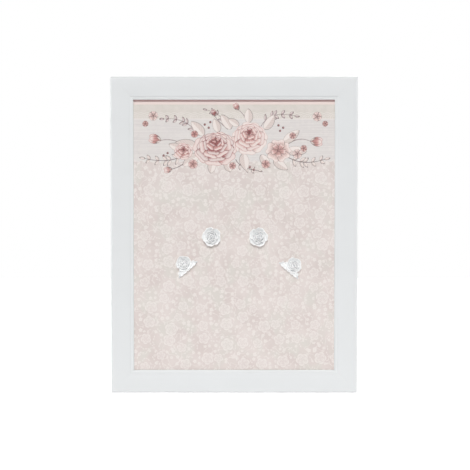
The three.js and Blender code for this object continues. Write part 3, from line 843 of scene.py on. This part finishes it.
def cut_face(drawing):
    """Cuts the sheet's face along the outlines of the drawing. Gives its points, its facets, and for each
    facet the outlines that it lies in, where 0 is the sheet's own."""
    low, high = SHEET_LOW, SHEET_HIGH
    corners = [(low.x, low.z), (high.x, low.z), (high.x, high.z), (low.x, high.z)]
    points = [(x, z - SHEET_CENTRE_Z) for x, z in corners]
    outlines = [[0, 1, 2, 3]]
    for shape in drawing.shapes:
        outlines.append(list(range(len(points), len(points) + len(shape["points"]))))
        points += shape["points"]
    reach = np.array(points[4:])
    left, bottom = reach.min(0) - 1
    right, top = reach.max(0) + 1
    for row in range(int((top - bottom) / INK_GRID)):
        for column in range(int((right - left) / INK_GRID)):
            points.append((left + (column + 0.5 * (row % 2)) * INK_GRID, bottom + row * INK_GRID))
    made = delaunay_2d_cdt([Vector(point) for point in points], [], outlines, 0, 1e-4, True)
    return made[0], made[2], made[5]


def lay_out(mesh):
    """The print's own map: the face fills it, and the sides and back lie in a narrow strip beside it."""
    layout = mesh.uv_layers.new(name="OFBake")
    size = SHEET_HIGH - SHEET_LOW
    for polygon in mesh.polygons:
        is_face = polygon.normal.y < -0.5
        for index in polygon.loop_indices:
            spot = mesh.vertices[mesh.loops[index].vertex_index].co / MM - SHEET_LOW
            share_x, depth, share_z = spot.x / size.x, spot.y / size.y, spot.z / size.z
            if is_face:
                place = (MAP_EDGE + MAP_FACE * share_x, MAP_EDGE + (1 - 2 * MAP_EDGE) * share_z)
            else:
                place = (MAP_STRIP + 0.02 * share_x + 0.004 * depth, 0.01 + 0.9 * share_z + 0.05 * depth)
            layout.data[index].uv = place


def make_print(material):
    """The sheet: its face is cut along the outlines of the garland's shapes, and each facet carries the
    ink of the shape that lies uppermost there."""
    drawing = draw_garland()
    places, facets, owners = cut_face(drawing)
    shape = bmesh.new()
    verts = [shape.verts.new((point.x, SHEET_LOW.y, point.y + SHEET_CENTRE_Z)) for point in places]
    ink = shape.loops.layers.float_color.new("ink")
    stroke = shape.loops.layers.float_vector.new("stroke")
    leaf = shape.loops.layers.float.new("leaf")
    by_shape = {}
    for corners, owner in zip(facets, owners):
        face = shape.faces.new([verts[i] for i in corners])
        for loop in face.loops:
            loop[ink] = (0, 0, 0, 0)
        if max(owner) > 0:
            by_shape.setdefault(max(owner) - 1, []).append(face)
    for number, owned in by_shape.items():
        drawn = drawing.shapes[number]
        loops = [loop for face in owned for loop in face.loops]
        flat = np.array([(loop.vert.co.x, loop.vert.co.z - SHEET_CENTRE_Z) for loop in loops])
        colour = linear(*drawn["ink"])
        for loop, value in zip(loops, drawing.local(drawn, flat)):
            loop[ink] = colour
            loop[stroke] = value
            loop[leaf] = float(drawn["leaf"])
    face_out(shape)
    if sum(face.normal.y for face in shape.faces) > 0:
        bmesh.ops.reverse_faces(shape, faces=shape.faces)

    # The face is open at its rim, so the sides are drawn back from there and the back is filled in
    rim = [edge for edge in shape.edges if edge.is_boundary]
    sides = bmesh.ops.extrude_edge_only(shape, edges=rim)["geom"]
    back = [item for item in sides if isinstance(item, bmesh.types.BMVert)]
    bmesh.ops.translate(shape, vec=(0, SHEET_HIGH.y - SHEET_LOW.y, 0), verts=back)
    bmesh.ops.holes_fill(shape, edges=[edge for edge in shape.edges if edge.is_boundary])
    face_out(shape)
    made = piece("print", shape, material, "board", "printed_paper", "printed_sheet")
    lay_out(made.data)


# Rose magnets


def bent_sheet(shape, across_steps, along_steps, bend, thickness):
    """A sheet bent by a rule from (-1 to 1 across, 0 to 1 along) to a place, then given its thickness."""
    grid = bmesh.ops.create_grid(shape, x_segments=across_steps, y_segments=along_steps, size=1)["verts"]
    faces = {face for vertex in grid for face in vertex.link_faces}
    for vertex in grid:
        vertex.co = bend(vertex.co.x, (vertex.co.y + 1) / 2)
    bmesh.ops.recalc_face_normals(shape, faces=list(faces))
    bmesh.ops.solidify(shape, geom=list(faces), thickness=thickness)


def add_cup(shape, cup, radius, height):
    """One ring of petals that lap over each other and roll outwards at the rim."""
    rim_share, top_share, petals, turn, lobes, roll = cup
    rim, top = radius * rim_share, height * top_share
    inward = 1 - rim_share  # inner cups stand steeper
    foot = PETAL_FOOT if rim_share == 1 else INNER_FOOT
    for count in range(petals):
        middle = -(count + 0.5 - turn) * math.tau / petals

        def bend(across, along):
            spread = across * PETAL_SPREAD / 2
            angle = middle - spread * math.tau / petals
            lobe = 1 - (lobes * (2 * spread) ** 2 - PETAL_LAP * 1.3 * spread) * (0.3 + 0.7 * along)
            curl = max(0, (along - PETAL_ROLL_START) / (1 - PETAL_ROLL_START))
            ruffle = PETAL_RUFFLE * math.cos(math.pi * 3 * across + count * 2) * along ** 3
            reach = foot + (1 - foot) * along ** (0.8 + inward * 0.9) + ruffle
            rise = 0.1 + 0.9 * along ** (1.15 - 0.5 * inward) - roll * curl ** 2
            rise -= PETAL_DROOP * abs(across) ** 3 * along
            out = rim * 0.965 * lobe * reach
            return out * math.cos(angle), out * math.sin(angle), top * (rise + ruffle)

        bent_sheet(shape, *PETAL_STEPS, bend, PETAL_THICKNESS)


def add_heart(shape, radius, height):
    """The rolled petals in the middle."""
    def bend(across, along):
        angle = across * math.pi * 1.25
        out = radius * (0.05 + 0.075 * (across + 1)) * (0.75 + 0.25 * along)
        rise = height * (0.55 + 0.42 * along - 0.04 * math.cos(angle))
        return out * math.cos(angle), out * math.sin(angle), rise

    bent_sheet(shape, *HEART_STEPS, bend, HEART_THICKNESS)


def add_core(shape, radius, height):
    """The solid middle under the petals, with the pocket for the disc in its back."""
    pocket = DISC_RADIUS + DISC_CLEARANCE
    roof, wall = DISC_DEPTH + DISC_CLEARANCE, CORE_WALL
    section = [(0, roof), (pocket, roof), (pocket, 0), (radius * 0.7, 0), (radius * 0.72, height * 0.06)]
    section += [(pocket + wall, roof / 2), (pocket + wall * 0.8, roof + wall * 0.4), (pocket, roof + wall)]
    for out, up in ((0.24, 0.56), (0.13, 0.72), (0.06, 0.82), (0, 0.84)):
        section.append((radius * out, height * up))
    spun(shape, section)


def add_leaf(shape, angle):
    """A toothed leaf with a flat back, arched across, with its midrib and side veins pressed in."""
    turn = rotation(angle, "Z")
    columns, rows = LEAF_STEPS
    grid = bmesh.ops.create_grid(shape, x_segments=columns, y_segments=rows, size=1)["verts"]
    faces = list({face for vertex in grid for face in vertex.link_faces})
    for vertex in grid:
        across, along = vertex.co.x, (vertex.co.y + 1) / 2
        notch = LEAF_NOTCH * (1 - abs(math.sin(math.pi * along * LEAF_TEETH))) ** 1.4
        # The outer side is round and the inner one widest at the foot, under the flower
        half = LEAF_WIDTH / 2 * (2.1 * along ** 0.5 if across * angle > 0 else 1.4) * (1 - along) ** 0.7
        half = max(0, half - notch * min(1, half))
        side = across * half
        vein = ((along * LEAF_VEINS - abs(across) * 1.1) % 1) - 0.5
        pressed = VEIN_DEPTH * math.exp(-(vein / 0.11) ** 2) * (1 - across ** 4) * min(1, abs(across) * 5)
        midrib = MIDRIB_DEPTH * math.exp(-(side / MIDRIB_WIDTH) ** 2)
        arch = 0.56 + 0.44 * abs(across) ** 1.3 - 0.25 * along * (along - 0.45) ** 2
        curl = LEAF_CURL * max(0, math.copysign(across, across * angle)) ** 2
        rise = LEAF_RISE * arch + curl - pressed - midrib
        place = Vector((along * LEAF_LENGTH, side, max(LEAF_EDGE, rise)))
        vertex.co = turn @ place + Vector((LEAF_ROOT, 0, 0))
    base = bmesh.ops.extrude_face_region(shape, geom=faces)["geom"]
    for vertex in (item for item in base if isinstance(item, bmesh.types.BMVert)):
        vertex.co.z = LEAF_BACK
    face_out(shape)


def mark_hollows(made, share, rounds=26):
    """Writes how far each point of a mesh lies below its surroundings, in millimetres, as an attribute.
    Share makes the hollows of a small rose count for less, so the painted shade in its folds is lighter."""
    mesh = made.data
    count = len(mesh.vertices)
    places, normals = np.empty(count * 3), np.empty(count * 3)
    mesh.vertices.foreach_get("co", places)
    mesh.vertex_normals.foreach_get("vector", normals)
    ends = np.empty(len(mesh.edges) * 2, dtype=int)
    mesh.edges.foreach_get("vertices", ends)
    here, there = ends[::2], ends[1::2]
    neighbours = np.bincount(ends, minlength=count)
    places = places.reshape(-1, 3)
    around = places.copy()
    for _ in range(rounds):
        totals = []
        for values in around.T:
            totals.append(np.bincount(here, values[there], count) + np.bincount(there, values[here], count))
        around = np.stack(totals, 1) / neighbours[:, None]
    depth = ((around - places) * normals.reshape(-1, 3)).sum(1) / MM * share
    mesh.attributes.new("hollow", "FLOAT", "POINT").data.foreach_set("value", depth)


def make_rose(name, material, disc_material):
    """A cast rose and the disc in its back. They are drawn face up and then stand up on the print."""
    turn, has_leaves = ROSES[name]
    radius, height = LEAF_ROSE if has_leaves else ROUND_ROSE
    _, back = box_middle(name + "_disc")
    stand = Matrix.Translation(back) @ rotation(90, "X") @ rotation(turn, "Z")

    shape = bmesh.new()
    for cup in CUPS:
        add_cup(shape, cup, radius, height)
    add_heart(shape, radius, height)
    if has_leaves:
        bmesh.ops.translate(shape, vec=(*LEAF_ROSE_SHIFT, 0), verts=shape.verts)
        add_leaf(shape, LEAF_ANGLE)
        add_leaf(shape, -LEAF_ANGLE)
    add_core(shape, radius, height)
    shape.transform(stand)
    made = piece(name + "_cast", shape, material, "magnet_" + name, "cast_resin", name + "_flower")
    cast = made.modifiers.new("cast", "REMESH")
    cast.mode = "VOXEL"
    cast.voxel_size = CAST_VOXEL * MM
    soften = made.modifiers.new("soften", "SMOOTH")
    soften.factor, soften.iterations = 0.5, 3
    settle(made)
    made.data.materials.clear()
    made.data.materials.append(material)
    # The fold depths drive the resin's painted shade in the folds and painted highlight on the edges
    mark_hollows(made, LEAF_ROSE_FOLD_SHADE if has_leaves else 1)
    smooth(made, 60)

    shape = bmesh.new()
    inner, top = DISC_RADIUS - DISC_EASE, DISC_DEPTH - DISC_EASE
    spun(shape, [(0, 0), (inner, 0), (DISC_RADIUS, DISC_EASE), (DISC_RADIUS, top), (inner, DISC_DEPTH),
                 (0, DISC_DEPTH)])
    shape.transform(stand)
    made = piece(name + "_magnet_disc", shape, disc_material, "magnet_" + name, "ferrite", name + "_disc")
    smooth(made)


# Hardware behind


def ring_path():
    """The D's centre line, foot first, as places across and up."""
    bend = RING_HALF_WIDTH - RING_FOOT_ROUND
    shoulder = RING_REACH - RING_HALF_WIDTH
    path = [(-bend + 2 * bend * i / 6, 0) for i in range(6)]
    for centre, start, end, radius, steps in (
        ((bend, RING_FOOT_ROUND), -90, 0, RING_FOOT_ROUND, 8),
        ((0, shoulder), 0, 180, RING_HALF_WIDTH, 32),
        ((-bend, RING_FOOT_ROUND), 180, 270, RING_FOOT_ROUND, 8),
    ):
        for step in range(steps + 1):
            angle = math.radians(start + (end - start) * step / steps)
            path.append((centre[0] + radius * math.cos(angle), centre[1] + radius * math.sin(angle)))
    return path


def make_ring(side, material):
    """A D-ring bent from round wire. Its foot lies in the strap's curl."""
    name = "d_ring_" + side
    axis = next(joint for joint in frame["joints"] if joint["name"] == f"ring_{side}_swing")
    foot = Vector(axis["pos_m"]) / MM
    shape = bmesh.new()
    loops = []
    corners = ring_path()
    path = [point for i, point in enumerate(corners) if math.dist(point, corners[i - 1]) > 0.05]
    for i, (across, up) in enumerate(path):
        before, after = Vector(path[i - 1]), Vector(path[(i + 1) % len(path)])
        run = (after - before).normalized()
        turn = Matrix(((run.y, 0, run.x), (0, 1, 0), (-run.x, 0, run.y))).to_4x4()
        circle = bmesh.ops.create_circle(shape, segments=RING_SIDES, radius=RING_WIRE, matrix=turn)["verts"]
        bmesh.ops.translate(shape, vec=(across, 0, up), verts=circle)
        loops.append([edge for edge in shape.edges if edge.verts[0] in circle and edge.verts[1] in circle])
    for i, loop in enumerate(loops):
        bmesh.ops.bridge_loops(shape, edges=loops[i - 1] + loop)
    face_out(shape)
    shape.transform(Matrix.Translation(foot) @ rotation(RING_LEAN, "X"))
    made = piece(name + "_wire", shape, material, "ring_" + side, "nickel_plate", name)
    smooth(made)


def make_strap(side, material):
    """The folded strap, as in the CAD with its cut edges broken."""
    shape = merged_copy("hanger_strap_" + side)
    closed = [edge for edge in shape.edges if len(edge.link_faces) == 2]
    bevel(shape, [edge for edge in closed if edge.calc_face_angle() > STRAP_CORNER], STRAP_EASE)
    made = piece("strap_" + side, shape, material, "board", "nickel_plate", "hanger_strap_" + side)
    smooth(made)


def make_screw(name, material):
    """A pan-head screw with a cross recess. Its seat is where the CAD's head meets the strap."""
    _, top = box_middle(name)
    stand = Matrix.Translation(top - Vector((0, SCREW_RISE, 0))) @ rotation(-90, "X")
    shape = bmesh.new()
    thread = []
    for turn in range(THREAD_TURNS):
        height = -THREAD_START - turn * THREAD_PITCH
        thread += [(SCREW_SHANK * THREAD_ROOT, height + THREAD_FLANK), (SCREW_SHANK, height)]
    section = [(0, -SCREW_LENGTH)] + thread[::-1] + [(SCREW_SHANK * 0.8, 0), (SCREW_HEAD, 0)]
    dome = quarter(0, SCREW_HEAD, SCREW_RIM, SCREW_RISE, range(10, 90, 10))
    spun(shape, section + [(SCREW_HEAD, SCREW_RIM)] + dome + [(0, SCREW_RISE)], 36)
    shape.transform(stand)
    made = piece(name + "_turned", shape, material, "board", "nickel_plate", name)

    cutter = bmesh.new()
    for angle in (0, 90):
        blade = bmesh.ops.create_cube(cutter, size=1)["verts"]
        for vertex in blade:
            x, y, z = vertex.co
            wide = RECESS_MOUTH if z > 0 else RECESS_FOOT
            vertex.co = Vector((x * wide, y * RECESS_WIDTH, SCREW_RISE - RECESS_DEPTH + (z + 0.5) * 2))
        bmesh.ops.rotate(cutter, cent=(0, 0, 0), matrix=rotation(angle, "Z"), verts=blade)
    cutter.transform(stand)
    cross = solid("cross", cutter)
    recess = made.modifiers.new("recess", "BOOLEAN")
    recess.object, recess.operation, recess.solver = cross, "DIFFERENCE", "EXACT"
    recess.use_self = True
    settle(made)
    bpy.data.objects.remove(cross)
    smooth(made)


def make_bumper(side, material):
    """A domed pad whose foot sticks to the bottom rail."""
    name = "bumper_" + side
    foot, face = box_middle(name)
    shape = bmesh.new()
    height = (face - foot).y
    dome = quarter(PAD_FACE, PAD_RADIUS, PAD_RIM, height, [7.5 * step for step in range(13)])
    spun(shape, [(0, 0), (PAD_RADIUS - PAD_EASE, 0), (PAD_RADIUS, PAD_EASE)] + dome + [(0, height)])
    shape.transform(Matrix.Translation(foot) @ rotation(-90, "X"))
    smooth(piece(name + "_dome", shape, material, "board", "soft_pad", name))


def seen_by(bench, *kinds):
    """1 for the kinds of ray named, and 0 for the others."""
    outputs = bench.node("LightPath").outputs
    first, *others = [Wire(bench, outputs[f"Is {kind} Ray"]) for kind in kinds]
    for wire in others:
        first = first.or_more(wire)
    return first


def add_lamp(name, kind, towards, power, **settings):
    """A lamp, with the direction from the board towards it as right, back and up."""
    lamp = bpy.data.lights.new(name, kind)
    lamp.energy = power
    for setting, value in settings.items():
        setattr(lamp, setting, value)
    holder = link(name, lamp)
    holder.rotation_euler = (-Vector(towards)).to_track_quat("-Z", "Y").to_euler()
    return holder


def make_light_and_floor():
    scene = bpy.context.scene
    scene.view_settings.view_transform = "Standard"

    world = bpy.data.worlds.new("plain_room")
    scene.world = world
    world.use_nodes = True
    bench = Bench(world.node_tree)
    bench.tree.nodes.clear()
    mix = bench.node("MixShader", {"Fac": seen_by(bench, "Camera", "Glossy", "Transmission")})
    for socket, strength in ((mix.inputs[1], ROOM_LIGHT), (mix.inputs[2], ROOM_SEEN)):
        room = bench.node("Background", {"Color": (1, 1, 1, 1), "Strength": strength})
        bench.tree.links.new(room.outputs[0], socket)
    bench.tree.links.new(mix.outputs[0], bench.node("OutputWorld").inputs["Surface"])

    shape = bmesh.new()
    bmesh.ops.create_grid(shape, x_segments=2, y_segments=2, size=FLOOR_REACH)
    bmesh.ops.translate(shape, vec=(0, 0, FLOOR_Z), verts=shape.verts)
    floor = solid("floor", shape)
    bench = new_material("pale_floor")
    glow = seen_by(bench, "Camera", "Glossy") * FLOOR_GLOW
    shader = bench.shader()
    shader["Base Color"].default_value = linear(236, 236, 236)
    shader["Roughness"].default_value = 0.9
    shader["Specular IOR Level"].default_value = 0
    shader["Emission Color"].default_value = (1, 1, 1, 1)
    bench.plug(glow, shader["Emission Strength"])
    floor.data.materials.append(bench.material)

    for name, (towards, degrees, power) in SUNS.items():
        add_lamp(name, "SUN", towards, power, angle=math.radians(degrees))
    place = Vector(FOOT_LIGHT)
    towards = place - Vector((0, 0, SHEET_CENTRE_Z))
    foot_light = add_lamp("foot_light", "AREA", towards, FOOT_LIGHT_POWER, shape="RECTANGLE", size=0.8,
                          size_y=0.05)
    foot_light.location = place * MM
    foot_light.visible_camera = False


def make_camera():
    """The camera stands in front of the board, a touch above its middle, and looks slightly down."""
    view = bpy.data.cameras.new("camera")
    view.lens, view.sensor_width = CAMERA_LENS, CAMERA_SENSOR
    eye = link("camera", view)
    target = Vector(CAMERA_TARGET) * MM
    rise = math.radians(CAMERA_RISE)
    eye.location = target + CAMERA_DISTANCE * Vector((0, -math.cos(rise), math.sin(rise)))
    eye.rotation_euler = (target - eye.location).to_track_quat("-Z", "Y").to_euler()
    bpy.context.scene.camera = eye


make_light_and_floor()
make_camera()
make_rails()
make_print(printed_paper())

finishes = {
    "galvanised_steel": zinc(),
    "nickel_plate": nickel(),
    "hardboard": hardboard(),
    "cast_resin": resin(),
    "ferrite": ferrite(),
    "soft_pad": soft_pad(),
}
for part in frame["record"]["subparts"]:
    finish = finishes.get(part["material_slot"])
    if finish:
        frame["nodes"][part["node"]].material_slots[0].material = finish

for rose in ROSES:
    make_rose(rose, finishes["cast_resin"], finishes["ferrite"])
for side in ("left", "right"):
    make_ring(side, finishes["nickel_plate"])
    make_strap(side, finishes["nickel_plate"])
    make_bumper(side, finishes["soft_pad"])
    for number in (1, 2):
        make_screw(f"hanger_screw_{side}_{number}", finishes["nickel_plate"])

bpy.context.view_layer.update()
